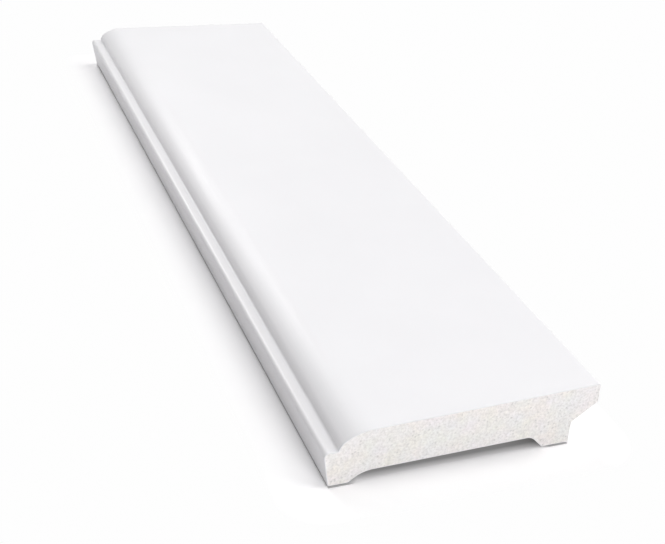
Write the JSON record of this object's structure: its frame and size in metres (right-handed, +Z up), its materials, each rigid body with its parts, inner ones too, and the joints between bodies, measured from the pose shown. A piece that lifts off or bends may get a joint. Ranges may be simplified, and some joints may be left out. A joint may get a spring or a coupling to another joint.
{
  "type": "skirting board",
  "caption": "Cut length of white skirting board lying face up: flat face, rounded moulding and nose along one edge, relieved back on glue feet, notch behind the base edge.",
  "frame": {"origin": "centre of the footprint, on the floor under the back of the board", "axes": "+X across the board towards the base edge, +Y along its length towards the far cut end, +Z up out of the flat face"},
  "size_m": [0.108, 0.39, 0.0257],
  "materials": {
    "skirting_board": "smooth matt white factory coat on the moulded faces; bare, finely speckled foam on the two cut ends"
  },
  "bodies": {
    "root": {"skirting_board": "skirting_board"}
  },
  "joints": []
}
